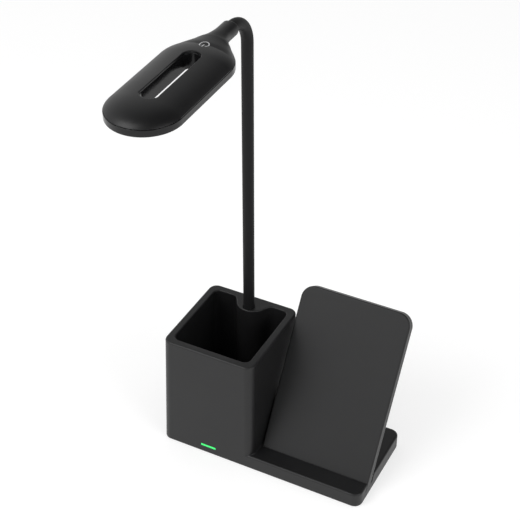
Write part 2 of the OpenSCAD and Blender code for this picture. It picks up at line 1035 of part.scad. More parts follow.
module head_top_shell() {
    color([0.16, 0.16, 0.16])
        head_level() {
            difference() {
                head_outer();
                oval_sweep(head_rear, head_span)
                    dome_profile(head_wall, 1);
                // Room for the lower frame's band and the slot's wall
                translate([0, 0, -1])
                    linear_extrude(band_h + 1)
                        oval(head_r + touch_gap, head_rear, head_span);
                slot_space(slot_wall + touch_gap, 0, frame_inner_h + touch_gap);
                slot_space(0, 0, head_h + 1);
                // Bore for the sleeve's end and the ferrule, then a way for the wires
                translate([0, 1, axis_up])
                    rotate([90, 0, 0])
                        cylinder(r = neck_r + touch_gap, h = ferrule_start + ferrule_len + 1);
                translate([0, 0, axis_up])
                    rotate([90, 0, 0])
                        cylinder(r = 1.5, h = collar_len + 12);
                translate([0, -ferrule_start - ferrule_len / 2, axis_up - collar_r - 1])
                    cylinder(r = small_screw_r + 0.02, h = collar_r + 1);
            }
            difference() {
                head_posts(head_post_r, band_h, head_post_top);
                head_posts(small_screw_r, band_h - 1, head_post_top - 0.8);
            }
        }
}

// The slot in the lower frame, which narrows to the underside
module slot_taper() {
    oval_sweep(slot_rear, slot_span)
        polygon([[0, -1], [slot_foot_r, -1], [slot_foot_r, 0], [slot_r, frame_inner_h],
                 [slot_r, head_h], [0, head_h]]);
}

module head_lower_frame() {
    color([0.3, 0.3, 0.31])
        head_level()
            difference() {
                union() {
                    oval_plate(0, 0, 0, band_h);
                    slot_space(slot_wall, 0, frame_inner_h);
                }
                oval_plate(head_wall, slot_wall, -1, web_z);
                slot_taper();
                head_posts(small_screw_r + touch_gap, -1, head_h);
            }
}

module light_diffuser() {
    color([0.95, 0.95, 0.92])
        head_level()
            oval_plate(head_wall + touch_gap, slot_wall + touch_gap, diffuser_z, diffuser_z + diffuser_t);
}

led_board_z = web_z - led_board_t;
led_board_gap = 1;   // gap round the board

module led_board() {
    color([0.9, 0.9, 0.88])
        head_level()
            difference() {
                oval_plate(head_wall + led_board_gap, slot_wall + led_board_gap, led_board_z, web_z);
                head_posts(small_screw_r + touch_gap, -1, head_h);
            }
}

// Light-emitting chips in a row round the board
module led_chips() {
    rho = head_r - head_wall - 4;
    rows = 7;
    color([0.95, 0.85, 0.4])
        head_level()
            translate([0, 0, led_board_z - led_t])
                for (s = [-1, 1])
                    for (i = [0:rows - 1])
                        translate([s * rho - 1.4, head_rear - i * head_span / (rows - 1) - 1.75, 0])
                            cube([2.8, 3.5, led_t]);
}

module head_screws() {
    color("silver")
        head_level()
            for (p = head_screw_places)
                translate([p[0], p[1], led_board_z])
                    screw(small_screw_r - 0.02, small_head_r, small_head_t - 0.1,
                          head_post_top - 1.3 - led_board_z);
}

module head_ferrule() {
    color("silver")
        head_frame()
            translate([0, -ferrule_start, 0])
                rotate([90, 0, 0])
                    tube(neck_r, core_r, ferrule_len);
}

module head_set_screw() {
    color("silver")
        head_level()
            translate([0, -ferrule_start - ferrule_len / 2, axis_up - collar_r + 0.2])
                cylinder(r = small_screw_r, h = collar_r - neck_r - 0.2 - touch_gap);
}

touch_rho = 12;      // touch pad's middle from the middle of the head's rear end
touch_r = 3.5;
touch_t = 0.6;
touch_top = dome_height(head_wall, touch_rho + touch_r) - 0.05;

module touch_pad() {
    color([0.8, 0.55, 0.3])
        head_level()
            translate([0, head_rear + touch_rho, touch_top - touch_t])
                cylinder(r = touch_r, h = touch_t);
}

base_housing();
bottom_cover();
grip_pad();
ballast_plate();
cover_screws();
main_board();
board_screws();
usb_inlet();
status_light_pipe();
status_led_board();
stand_front_shell();
stand_back_cover();
charging_coil();
ferrite_sheet();
coil_board();
stand_foot_screws();
stand_cover_screws();
neck_anchor();
neck_anchor_washer();
neck_anchor_nut();
neck_core_1();
neck_core_2();
neck_core_3();
neck_core_4();
neck_core_5();
neck_core_6();
neck_core_7();
neck_sleeve_1();
neck_sleeve_2();
neck_sleeve_3();
neck_sleeve_4();
neck_sleeve_5();
neck_sleeve_6();
neck_sleeve_7();
neck_flex_1();
neck_flex_2();
neck_flex_3();
neck_flex_4();
neck_flex_5();
neck_flex_6();
head_top_shell();
head_lower_frame();
head_ferrule();
head_set_screw();
light_diffuser();
led_board();
led_chips();
head_screws();
touch_pad();
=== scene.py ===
"""Looks of a desk lamp on an organiser base: pen box, leaning charging stand and a
flexible neck with an oval light head. Lengths are in millimetres, and pieces are made
in metres."""

import json
import math

import bpy
import numpy as np
from mathutils import Euler, Matrix, Vector


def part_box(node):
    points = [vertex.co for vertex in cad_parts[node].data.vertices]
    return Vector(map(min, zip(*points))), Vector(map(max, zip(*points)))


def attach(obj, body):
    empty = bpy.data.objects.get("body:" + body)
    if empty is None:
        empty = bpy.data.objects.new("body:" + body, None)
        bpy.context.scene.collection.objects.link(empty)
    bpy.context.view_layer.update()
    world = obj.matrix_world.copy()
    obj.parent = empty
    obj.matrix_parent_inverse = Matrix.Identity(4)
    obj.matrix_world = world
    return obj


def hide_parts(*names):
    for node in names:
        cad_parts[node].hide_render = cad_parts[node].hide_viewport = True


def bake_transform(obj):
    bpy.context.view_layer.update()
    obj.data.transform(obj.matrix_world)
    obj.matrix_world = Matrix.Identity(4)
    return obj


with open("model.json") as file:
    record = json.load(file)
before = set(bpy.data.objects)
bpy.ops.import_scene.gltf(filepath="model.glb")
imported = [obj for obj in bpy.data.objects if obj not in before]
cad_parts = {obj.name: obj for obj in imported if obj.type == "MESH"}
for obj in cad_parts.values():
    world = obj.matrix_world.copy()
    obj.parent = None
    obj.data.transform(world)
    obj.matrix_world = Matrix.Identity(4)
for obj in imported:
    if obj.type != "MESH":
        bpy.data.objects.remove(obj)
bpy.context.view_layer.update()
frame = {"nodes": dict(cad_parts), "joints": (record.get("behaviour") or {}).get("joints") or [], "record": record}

MM = 0.001


# ---------- places in the frame ----------


def cad(node):
    """Lowest and highest corner of a CAD node."""
    lo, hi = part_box(node)
    return np.array(lo) / MM, np.array(hi) / MM


def pivot(joint):
    """Middle of a joint."""
    return np.array(next(j["pos_m"] for j in frame["joints"] if j["name"] == joint)) / MM


(LEFT, FRONT, SKIRT_Z), (RIGHT, BACK, BOX_TOP) = cad("base_housing")
BASE_W, BASE_D = RIGHT - LEFT, BACK - FRONT
BASE_TOP = 12
CORNER_R = 6.5
EDGE_R = 1.4
WALL = 2.2
CEILING_Z = 10          # underside of the base's top face

(STAND_X0, _, FOOT_Z), (STAND_X1, _, _) = cad("stand_front_shell")
STAND_GAP = 1
BOX_RIGHT = STAND_X0 - STAND_GAP
BOX_W = BOX_RIGHT - LEFT
BOX_MID = (LEFT + BOX_RIGHT) / 2
RIM_W = 5.6
CUP_R = 5
BULGE_R = 12.4
BULGE_HOLLOW_R = 5
RIM_EDGE_R = 0.8
LEAN_IN = 1.2           # the pen box's left wall leans: in at the rim
LEAN_OUT = 2.6          # and out at the desk
LEAN_FROM = 12          # left of the box's middle, where the lean fades in
LEAN_OVER = 16
SOCKET_DEPTH = 26       # of the neck's bore under the rim
FILLET_R = 0.8          # in the corner between the pen box and the base's top

STAND_LEAN = math.radians(32)
STAND_W = STAND_X1 - STAND_X0
STAND_MID = (STAND_X0 + STAND_X1) / 2
STAND_FACE_Y = FRONT + 15
STAND_LEN = 124.5
STAND_T = 8
STAND_R = 10
STAND_WALL = 1.8
STAND_EDGE_R = 1.1
SHELL_SPLIT = 4.6
FOOT_BLOCK = 6
FOOT_SEAM = 1.6
STAND_SCREW_IN = 7

(BAR_X0, _, BAR_Z0), (BAR_X1, _, BAR_Z1) = cad("status_light_pipe")
BAR_FLANGE = 1
(USB_X0, _, USB_Z0), (USB_X1, _, USB_Z1) = cad("usb_inlet")

NECK_X, NECK_Y, _ = pivot("neck_low_fore_aft")
NECK_R = 4.1
SLEEVE_BORE = 3
SLEEVE_FOOT = cad("neck_sleeve_1")[0][2]
SOCKET_R = NECK_R + 0.1
BEND_R = 20
BEND_Z = 311
BEND_ANGLE = math.radians(91.5)

HEAD_R = 24.2
HEAD_REAR = 46.2        # from the collar's end to the middle of the head's rear end
HEAD_TIP = 103          # and to the middle of its front end
HEAD_H = 11.4
BAND_H = 4.6
HEAD_WALL = 1.6
DOME_SLOPE = math.radians(55)
POST_R = 2.2            # posts under the dome that the head's screws go into
HEAD_SCREW_BORE = 1.1
SWITCH_RHO = 12         # the touch switch, from the middle of the head's rear end
WEB_Z = 3.3             # upper side of the lower frame's web
SLOT_REAR = HEAD_REAR + 4.4
SLOT_TIP = SLOT_REAR + 46
SLOT_R = 6.1
SLOT_FOOT_R = 4.65      # the slot narrows to the underside
SLOT_WALL = 1.4
SLOT_WALL_TOP = 9.6
COLLAR_R = 5.7
COLLAR_START = 1.2
COLLAR_LEN = 14
FLARE_START = 9         # where the collar starts to widen into the shoulders
FLARE_LEN = 13
FLARE = 0.0035          # share that the collar widens by, per squared millimetre
SHOULDER_REACH = 7      # over which collar and dome flow into each other
CREST_DROP = 0.8        # from the collar's top down to the touch switch
CREST_LEN = 14
COLLAR_CUT_Y = 12       # from here the collar's underside rises to the band
COLLAR_CUT_SLOPE = 0.42
AXIS_UP = 6             # neck's axis over the head's underside

SYMBOL_R = 2.9
SYMBOL_STROKE = 0.6
INK_T = 0.04

COVER_SCREW_R = 1.9
SCREW_RECESS_R = 2.1
GAP = 0.1


def neck_place(angle):
    """Middle of the neck at an angle round its bend, its direction and its outer side."""
    out = Vector((0, math.cos(angle), math.sin(angle)))
    along = Vector((0, -math.sin(angle), math.cos(angle)))
    middle = Vector((NECK_X, NECK_Y - BEND_R, BEND_Z)) + BEND_R * out
    return middle, along, out


def axes(x, y, z, origin):
    """Matrix of a piece's own axes and origin in the frame."""
    m = Matrix((x, y, z)).transposed().to_4x4()
    m.translation = Vector(origin)
    return m


def head_axes():
    """x across the head, y from the collar to the tip, z up from the underside."""
    middle, along, out = neck_place(BEND_ANGLE)
    return axes(along.cross(out), along, out, middle - AXIS_UP * out)


def stand_axes():
    """x across the stand, y up its slope from the base's top, z out of its face."""
    s, c = math.sin(STAND_LEAN), math.cos(STAND_LEAN)
    return axes((1, 0, 0), (0, s, c), (0, -c, s), (0, STAND_FACE_Y, BASE_TOP))


# ---------- solids as distance fields ----------


def rounded_rect(x, y, w, d, r):
    """Distance to a rounded rectangle about the origin, negative inside."""
    qx = np.abs(x) - w / 2 + r
    qy = np.abs(y) - d / 2 + r
    corner = np.hypot(np.maximum(qx, 0), np.maximum(qy, 0))
    return corner + np.minimum(np.maximum(qx, qy), 0) - r


def meet(a, b, r=0.0):
    """What is inside both, with the edge between them rounded."""
    edge = np.hypot(np.maximum(a + r, 0), np.maximum(b + r, 0))
    return np.minimum(np.maximum(a, b), -r) + edge


def join(a, b, r=0.0):
    """What is inside either, with a fillet between them."""
    return -meet(-a, -b, r)


def melt(a, b, reach):
    """What is inside either, flowing into each other over a reach."""
    h = np.maximum(reach - np.abs(a - b), 0) / reach
    return np.minimum(a, b) - h * h * reach / 4


def grid_lines(lo, hi, step, zones=()):
    """Grid lines from lo to hi, closer in each zone (start, stop, step)."""
    lines = [lo]
    while lines[-1] < hi:
        at = lines[-1]
        here = min([s for a, b, s in zones if a <= at < b], default=step)
        starts = [a for a, b, s in zones if at < a < at + here]
        lines.append(min([at + here] + starts))
    return np.array(lines)


def take(values, axis, part):
    """Part of an array along one axis."""
    return values[tuple(part if a == axis else slice(None) for a in range(values.ndim))]


def surface_net(values, lines):
    """Points and four-cornered faces where a field on a grid changes sign."""
    cells = tuple(n - 1 for n in values.shape)
    total = np.zeros(cells + (3,))
    count = np.zeros(cells)
    grid = np.stack(np.meshgrid(*lines, indexing="ij"), -1)
    crossings = []
    for axis in range(3):
        low, high = take(values, axis, slice(None, -1)), take(values, axis, slice(1, None))
        crossed = (low < 0) != (high < 0)
        share = np.where(crossed, low / np.where(crossed, low - high, 1), 0)
        start, stop = take(grid, axis, slice(None, -1)), take(grid, axis, slice(1, None))
        place = (start + (stop - start) * share[..., None]) * crossed[..., None]
        u, v = [a for a in range(3) if a != axis]
        for du in (0, 1):
            for dv in (0, 1):
                at = [slice(None)] * 3
                at[u] = slice(du, du + cells[u])
                at[v] = slice(dv, dv + cells[v])
                total += place[tuple(at)]
                count += crossed[tuple(at)]
        crossings.append((crossed, low < 0))
    used = count > 0
    index = np.full(cells, -1)
    index[used] = np.arange(used.sum())
    points = total[used] / count[used][:, None]
    faces = []
    for axis, (crossed, inside_first) in enumerate(crossings):
        u, v = (axis + 1) % 3, (axis + 2) % 3
        inner = [slice(None)] * 3
        inner[u], inner[v] = slice(1, -1), slice(1, -1)
        where = np.argwhere(crossed[tuple(inner)])
        where[:, u] += 1
        where[:, v] += 1
        corners = []
        for du, dv in ((-1, -1), (0, -1), (0, 0), (-1, 0)):
            c = where.copy()
            c[:, u] += du
            c[:, v] += dv
            corners.append(index[tuple(c.T)])
        quads = np.stack(corners, -1)
        outward = inside_first[tuple(where.T)]
        quads[~outward] = quads[~outward][:, ::-1]
        faces.append(quads)
    return points, np.concatenate(faces)


def slopes(field, points, h=0.02):
    """Gradient of a field at some points."""
    rises = [field(*(points + s).T) - field(*(points - s).T) for s in np.eye(3) * h]
    return np.stack([rise / (2 * h) for rise in rises], -1)


def solid(name, field, lines, matrix, material):
    """Makes a piece from a distance field in its own axes."""
    values = field(*np.meshgrid(*lines, indexing="ij"))
    points, faces = surface_net(values, lines)
    for _ in range(3):
        g = slopes(field, points)
        size = np.maximum((g * g).sum(1), 0.2)
        points -= np.clip(field(*points.T) / size, -0.3, 0.3)[:, None] * g
    piece = mesh_piece(name, points, faces, material, matrix)
    normals = slopes(field, points, 0.05)
    normals /= np.maximum(np.linalg.norm(normals, axis=1), 1e-9)[:, None]
    turned = normals @ np.array(matrix.to_3x3()).T
    piece.data.normals_split_custom_set_from_vertices(turned)
    return piece


def mesh_piece(name, points, faces, material, matrix=Matrix.Identity(4)):
    """Makes a mesh object from points in a piece's own axes, in millimetres."""
    placed = points @ np.array(matrix.to_3x3()).T + np.array(matrix.translation)
    mesh = bpy.data.meshes.new(name)
    mesh.from_pydata((placed * MM).tolist(), [], [tuple(map(int, f)) for f in faces])
    mesh.polygons.foreach_set("use_smooth", [True] * len(mesh.polygons))
    mesh.materials.append(material)
    piece = bpy.data.objects.new(name, mesh)
    bpy.context.scene.collection.objects.link(piece)
    return piece


# ---------- materials ----------


def new_material(name, colour, roughness, metallic=0.0, ior=1.5):
    """Material with its node tree and its shader."""
    material = bpy.data.materials.new(name)
    material.use_nodes = True
    shader = material.node_tree.nodes["Principled BSDF"]
    shader.inputs["Base Color"].default_value = (*colour, 1)
    shader.inputs["Roughness"].default_value = roughness
    shader.inputs["Metallic"].default_value = metallic
    shader.inputs["IOR"].default_value = ior
    return material, material.node_tree, shader


def noise(tree, scale, detail=2.0, kind="ShaderNodeTexNoise", stretch=(1, 1, 1)):
    """Noise in the piece's own coordinates, in features per millimetre."""
    place = tree.nodes.new("ShaderNodeTexCoord")
    mapping = tree.nodes.new("ShaderNodeMapping")
    mapping.inputs["Scale"].default_value = tuple(s * scale / MM for s in stretch)
    texture = tree.nodes.new(kind)
    texture.inputs["Scale"].default_value = 1
    if kind == "ShaderNodeTexNoise":
        texture.inputs["Detail"].default_value = detail
    tree.links.new(place.outputs["Object"], mapping.inputs["Vector"])
    tree.links.new(mapping.outputs["Vector"], texture.inputs["Vector"])
    return texture.outputs[0]


def spread(tree, value, low, high):
    """Maps a texture's middle range to low and high."""
    remap = tree.nodes.new("ShaderNodeMapRange")
    remap.inputs["From Min"].default_value = 0.3
    remap.inputs["From Max"].default_value = 0.7
    remap.inputs["To Min"].default_value = low
    remap.inputs["To Max"].default_value = high
    tree.links.new(value, remap.inputs["Value"])
    return remap.outputs["Result"]


def tint(tree, shader, value, low, high):
    """Lets the base colour vary between two colours."""
    mix = tree.nodes.new("ShaderNodeMix")
    mix.data_type = "RGBA"
    mix.inputs["A"].default_value = (*low, 1)
    mix.inputs["B"].default_value = (*high, 1)
    tree.links.new(value, mix.inputs["Factor"])
    tree.links.new(mix.outputs["Result"], shader.inputs["Base Color"])


def relief(tree, shader, value, depth):
    """Bump of a depth in millimetres."""
    bump = tree.nodes.new("ShaderNodeBump")
    bump.inputs["Strength"].default_value = 1
    bump.inputs["Distance"].default_value = depth * MM
    tree.links.new(value, bump.inputs["Height"])
    tree.links.new(bump.outputs["Normal"], shader.inputs["Normal"])


def moulded(name, dark, light, rough_low, rough_high, grain=2.2, depth=0.02, ior=1.45):
    """Moulded plastic with a fine spark-eroded grain and faint clouds of gloss."""
    material, tree, shader = new_material(name, dark, rough_low, ior=ior)
    clouds = noise(tree, 0.05, 3)
    tint(tree, shader, spread(tree, clouds, 0, 1), dark, light)
    tree.links.new(spread(tree, clouds, rough_low, rough_high), shader.inputs["Roughness"])
    relief(tree, shader, noise(tree, grain, 3), depth)
    return material


def metal(name, colour, rough_low, rough_high, stretch=(1, 1, 1)):
    material, tree, shader = new_material(name, colour, rough_low, metallic=1.0)
    marks = noise(tree, 0.8, 4, stretch=stretch)
    darker = tuple(c * 0.8 for c in colour)
    tint(tree, shader, spread(tree, marks, 0, 1), darker, colour)
    tree.links.new(spread(tree, marks, rough_low, rough_high), shader.inputs["Roughness"])
    relief(tree, shader, marks, 0.01)
    return material


def milky(name):
    """Milky diffuser plastic."""
    material, tree, shader = new_material(name, (0.82, 0.82, 0.79), 0.35)
    shader.inputs["Subsurface Weight"].default_value = 0.3
    shader.inputs["Subsurface Radius"].default_value = (0.004, 0.004, 0.0035)
    clouds = noise(tree, 0.08, 2)
    tint(tree, shader, spread(tree, clouds, 0, 1), (0.78, 0.78, 0.75), (0.86, 0.86, 0.83))
    relief(tree, shader, noise(tree, 3, 2), 0.01)
    return material


def glowing(name):
    """Green light bar, lit from behind, brighter in some patches."""
    material, tree, shader = new_material(name, (0.03, 0.5, 0.12), 0.3)
    clouds = noise(tree, 0.2, 2)
    tint(tree, shader, spread(tree, clouds, 0, 1), (0.02, 0.42, 0.1), (0.05, 0.6, 0.17))
    shader.inputs["Emission Color"].default_value = (0.045, 0.8, 0.16, 1)
    tree.links.new(spread(tree, clouds, 0.75, 1.0), shader.inputs["Emission Strength"])
    return material


def board(name, colour):
    """Solder-masked circuit board with its tracks showing through."""
    material, tree, shader = new_material(name, colour, 0.35)
    tracks = noise(tree, 0.4, kind="ShaderNodeTexVoronoi")
    lighter = tuple(min(1, c * 1.6 + 0.02) for c in colour)
    tint(tree, shader, spread(tree, tracks, 0, 1), colour, lighter)
    relief(tree, shader, tracks, 0.03)
    return material


MATERIALS = {
    "shell": moulded("shell_plastic", (0.0075, 0.0075, 0.008), (0.0095, 0.0095, 0.01), 0.42, 0.48),
    "cover": moulded("cover_plastic", (0.007, 0.007, 0.0075), (0.009, 0.009, 0.0095), 0.5, 0.56),
    "pad": moulded("pad_rubber", (0.006, 0.006, 0.006), (0.009, 0.009, 0.009), 0.75, 0.85,
                   grain=1.2, depth=0.04),
    "sleeve": moulded("sleeve_silicone", (0.006, 0.006, 0.0065), (0.0085, 0.0085, 0.009),
                      0.55, 0.62, grain=3, depth=0.01, ior=1.3),
    "head_shell": moulded("head_plastic", (0.0042, 0.0042, 0.0046), (0.0056, 0.0056, 0.006),
                          0.36, 0.42, ior=1.4),
    "head_band": moulded("band_plastic", (0.005, 0.005, 0.0055), (0.007, 0.007, 0.0075),
                         0.12, 0.18, ior=1.38),
    "diffuser": milky("diffuser_plastic"),
    "light_bar": glowing("light_bar_plastic"),
    "steel": metal("bright_steel", (0.6, 0.6, 0.62), 0.25, 0.38),
    "copper": metal("copper_wire", (0.75, 0.36, 0.16), 0.3, 0.4, stretch=(1, 1, 12)),
    "ferrite": moulded("ferrite_sheet", (0.03, 0.03, 0.032), (0.05, 0.05, 0.053), 0.5, 0.65,
                       grain=1, depth=0.03),
    "board": board("green_board", (0.01, 0.09, 0.04)),
    "white_board": board("white_board", (0.62, 0.62, 0.6)),
    "led": board("led_phosphor", (0.8, 0.62, 0.12)),
    "symbol": moulded("symbol_ink", (0.42, 0.42, 0.43), (0.48, 0.48, 0.49), 0.4, 0.5,
                      grain=3, depth=0.005),
}


# ---------- pieces of the base ----------


def cup_outline(x, y):
    """Pen cavity seen from above, with the bulge that carries the neck."""
    room = rounded_rect(x - BOX_MID, y, BOX_W - 2 * RIM_W, BASE_D - 2 * RIM_W, CUP_R)
    bulge = BULGE_R - np.hypot(x - NECK_X, y - BACK + RIM_W)
    return meet(room, bulge, BULGE_HOLLOW_R)


def in_stand(y, z):
    """Place up the stand's slope and depth behind its face."""
    s, c = math.sin(STAND_LEAN), math.cos(STAND_LEAN)
    up, back = z - BASE_TOP, y - STAND_FACE_Y
    return back * s + up * c, back * c - up * s


def foot_slot(x, y, z, grow=0.0):
    """Slanted slot that the stand's foot sits in."""
    _, depth = in_stand(y, z)
    room = np.maximum(-GAP - grow - depth, depth - STAND_T - FOOT_SEAM - grow)
    room = np.maximum(room, STAND_X0 - GAP - grow - x)
    return np.maximum(room, FOOT_Z - grow - z)


def housing(x, y, z):
    """Pen box, base top and skirt in one moulding."""
    lean = LEAN_IN - (LEAN_IN + LEAN_OUT) * (1 - z / BOX_TOP)
    wide = x - lean * np.clip((BOX_MID - LEAN_FROM - x) / LEAN_OVER, 0, 1)
    base = rounded_rect(wide, y, BASE_W, BASE_D, CORNER_R)
    tower = meet(rounded_rect(wide - BOX_MID, y, BOX_W, BASE_D, CORNER_R), z - BOX_TOP, EDGE_R)
    deck = meet(base, z - BASE_TOP, EDGE_R)
    body = join(tower, deck, FILLET_R * np.clip((-base - 0.5) / 3, 0, 1))
    body = meet(body, -meet(cup_outline(wide, y), BASE_TOP - z, 1.5), RIM_EDGE_R)
    body = meet(body, SKIRT_Z - z, 0.4)
    under = rounded_rect(x, y, BASE_W - 2 * WALL, BASE_D - 2 * WALL, CORNER_R - WALL)
    under = np.maximum(np.maximum(under, z - CEILING_Z), -foot_slot(x, y, z, STAND_WALL))
    body = meet(body, -under, 0.2)
    body = meet(body, -foot_slot(x, y, z), 0.3)
    body = meet(body, -bar_opening(x, y, z), 0.15)
    body = meet(body, -inlet_opening(x, y, z), 0.3)
    bore = np.maximum(np.hypot(x - NECK_X, y - NECK_Y) - SOCKET_R, BOX_TOP - SOCKET_DEPTH - z)
    return meet(body, -bore, 0.5)


def bar_opening(x, y, z):
    """Opening in the front for the light bar."""
    w = BAR_X1 - BAR_X0 - 2 * BAR_FLANGE + 2 * GAP
    h = BAR_Z1 - BAR_Z0 - 2 * BAR_FLANGE + 2 * GAP
    opening = rounded_rect(x - (BAR_X0 + BAR_X1) / 2, z - (BAR_Z0 + BAR_Z1) / 2, w, h, 0.1)
    return np.maximum(opening, y - FRONT - 2 * WALL)


def inlet_opening(x, y, z):
    """Opening in the back for the inlet."""
    w, h = USB_X1 - USB_X0 + 0.4, USB_Z1 - USB_Z0 + 0.4
    opening = rounded_rect(x - (USB_X0 + USB_X1) / 2, z - (USB_Z0 + USB_Z1) / 2, w, h, h / 2)
    return np.maximum(opening, BACK - 2 * WALL - y)


def make_housing():
    """Housing of the base, on a finer grid where its edges are round."""
    fine = 0.5
    xs = grid_lines(LEFT - LEAN_OUT - 1, RIGHT + 1, 2.5, [
        (LEFT - LEAN_OUT - 1, STAND_X0 + 1, fine),
        (USB_X0 - 1, USB_X1 + 1, fine),
        (RIGHT - 8, RIGHT + 1, fine),
    ])
    ys = grid_lines(FRONT - 1, BACK + 1, 1.2, [
        (FRONT - 1, FRONT + 8, fine),
        (NECK_Y - 8, BACK + 1, fine),
    ])
    zs = grid_lines(SKIRT_Z - 1, BOX_TOP + 1, 4, [
        (SKIRT_Z - 1, BASE_TOP + 3, 0.4),
        (BOX_TOP - 3, BOX_TOP + 1, 0.4),
    ])
    piece = solid("housing", housing, (xs, ys, zs), Matrix.Identity(4), MATERIALS["shell"])
    return settle(piece, "base", "shell", "base_housing")


def settle(piece, body, slot, *nodes):
    """Puts a piece on its body, if it has one, in place of CAD nodes; the slot it is given is not used."""
    if body:
        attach(piece, body)
    if nodes:
        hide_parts(*nodes)
    return piece


def make_pad():
    """Rubber pad with ribs across it, so that the lamp doesn't slide."""
    (x0, y0, z0), (x1, y1, z1) = cad("grip_pad")
    rib, groove, depth = 1.6, 0.9, 0.6
    bevel, draft, edge, corner = 0.25, 0.1, 0.2, 2.4
    profile = [(0, bevel), (bevel, 0), (rib - bevel, 0), (rib, bevel),
               (rib + draft, depth), (rib + groove - draft, depth)]
    pitch = rib + groove
    count = int((x1 - x0) / pitch)
    rows = [(x0 + i * pitch + along, up) for i in range(count) for along, up in profile]
    rows.append((x1, bevel))
    points = []
    for x, up in rows:
        near = max(0, corner - min(x - x0, x1 - x))
        inset = corner - math.sqrt(corner**2 - near**2)
        front, back, foot = y0 + inset, y1 - inset, z0 + up
        ring = [(front, foot + edge), (front + edge, foot), (back - edge, foot),
                (back, foot + edge), (back, z1), (front, z1)]
        points += [(x, y, z) for y, z in ring]
    faces = [[i * 6 + j, i * 6 + (j + 1) % 6, (i + 1) * 6 + (j + 1) % 6, (i + 1) * 6 + j]
             for i in range(len(rows) - 1) for j in range(6)]
    faces = [f[::-1] for f in faces]
    last = (len(rows) - 1) * 6
    faces += [list(range(6)), [last + 5 - j for j in range(6)]]
    piece = mesh_piece("grip_pad_ribbed", np.array(points), faces, MATERIALS["pad"])
    piece.data.polygons.foreach_set("use_smooth", [False] * len(faces))
    return settle(piece, "base", "pad", "grip_pad")


# ---------- pieces of the stand ----------


def stand_slab(x, y, z):
    """Hollow slab of the stand, whose tail is cut off level inside the base."""
    tail = 40
    outline = rounded_rect(x - STAND_MID, y - (STAND_LEN - tail) / 2,
                           STAND_W, STAND_LEN + tail, STAND_R)
    slab = meet(meet(outline, z, STAND_EDGE_R), -STAND_T - z, STAND_EDGE_R)
    height = BASE_TOP + y * math.cos(STAND_LEAN) + z * math.sin(STAND_LEAN)
    slab = np.maximum(slab, FOOT_Z - height)
    inner_h = STAND_LEN - FOOT_BLOCK - 2 * STAND_WALL
    inside = rounded_rect(x - STAND_MID, y - (STAND_LEN + FOOT_BLOCK) / 2,
                          STAND_W - 2 * STAND_WALL, inner_h, STAND_R - STAND_WALL)
    inside = np.maximum(np.maximum(inside, z + STAND_WALL), -STAND_T + STAND_WALL - z)
    return np.maximum(slab, -inside)


def cover_room(y, z):
    """Room behind the front shell that the back cover fills."""
    return np.maximum(z + SHELL_SPLIT, FOOT_BLOCK - y)


def stand_front(x, y, z):
    """Shell that the phone leans on."""
    return meet(stand_slab(x, y, z), -cover_room(y, z), 0.2)


def screw_places():
    """Axes of the cover's four screws."""
    return [(x, y) for x in (STAND_X0 + STAND_SCREW_IN, STAND_X1 - STAND_SCREW_IN)
            for y in (FOOT_BLOCK + 8, STAND_LEN - STAND_R - 4)]


def stand_cover(x, y, z):
    """Back cover of the stand, with recesses for its screws."""
    cover = meet(stand_slab(x, y, z), cover_room(y - GAP, z + GAP), 0.2)
    for px, py in screw_places():
        recess = np.maximum(np.hypot(x - px, y - py) - SCREW_RECESS_R, z + STAND_T - 1)
        cover = meet(cover, -recess, 0.2)
    return cover


def make_stand():
    """Both shells of the stand."""
    fine = 0.45
    xs = grid_lines(STAND_X0 - 1, STAND_X1 + 1, 3, [
        (STAND_X0 - 1, STAND_X0 + STAND_R, fine),
        (STAND_X1 - STAND_R, STAND_X1 + 1, fine),
    ])
    zs = grid_lines(-STAND_T - 1, 1, 0.3)
    ys = grid_lines(-12, STAND_LEN + 1, 3, [
        (-12, FOOT_BLOCK + 11, fine),
        (STAND_LEN - STAND_R - 7, STAND_LEN + 1, fine),
    ])
    front = solid("stand_front", stand_front, (xs, ys, zs), stand_axes(), MATERIALS["shell"])
    back = solid("stand_cover", stand_cover, (xs, ys, zs), stand_axes(), MATERIALS["shell"])
    settle(front, "base", "shell", "stand_front_shell")
    settle(back, "base", "shell", "stand_back_cover")


# ---------- neck ----------


def make_sleeve(name, stations):
    """One length of soft sleeve: a tube with a bore, along a row of stations."""
    around = 48
    points, faces = [], []
    for radius in (NECK_R, SLEEVE_BORE):
        for middle, along, out in stations:
            side = along.cross(out)
            for i in range(around):
                a = 2 * math.pi * i / around
                points.append(middle + radius * (math.cos(a) * out + math.sin(a) * side))
    rings = len(stations)
    for wall in (0, 1):
        base = wall * rings * around
        for r in range(rings - 1):
            for i in range(around):
                j = (i + 1) % around
                quad = [base + r * around + i, base + (r + 1) * around + i,
                        base + (r + 1) * around + j, base + r * around + j]
                faces.append(quad if wall == 0 else quad[::-1])
    piece = mesh_piece(name, np.array([tuple(p) for p in points]), faces, MATERIALS["sleeve"])
    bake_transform(piece)
    return piece


def straight_stations(z0, z1):
    """Up the straight part of the neck, from one height to another."""
    count = max(2, int((z1 - z0) / 1.5))
    heights = [z0 + (z1 - z0) * i / count for i in range(count + 1)]
    up, out = Vector((0, 0, 1)), Vector((0, 1, 0))
    return [(Vector((NECK_X, NECK_Y, height)), up, out) for height in heights]


def bend_stations():
    """Round the bend and a little way into the collar."""
    steps, inside = 28, 3
    places = [neck_place(BEND_ANGLE * i / steps) for i in range(steps + 1)]
    middle, along, out = places[-1]
    return places + [(middle + along * inside, along, out)]


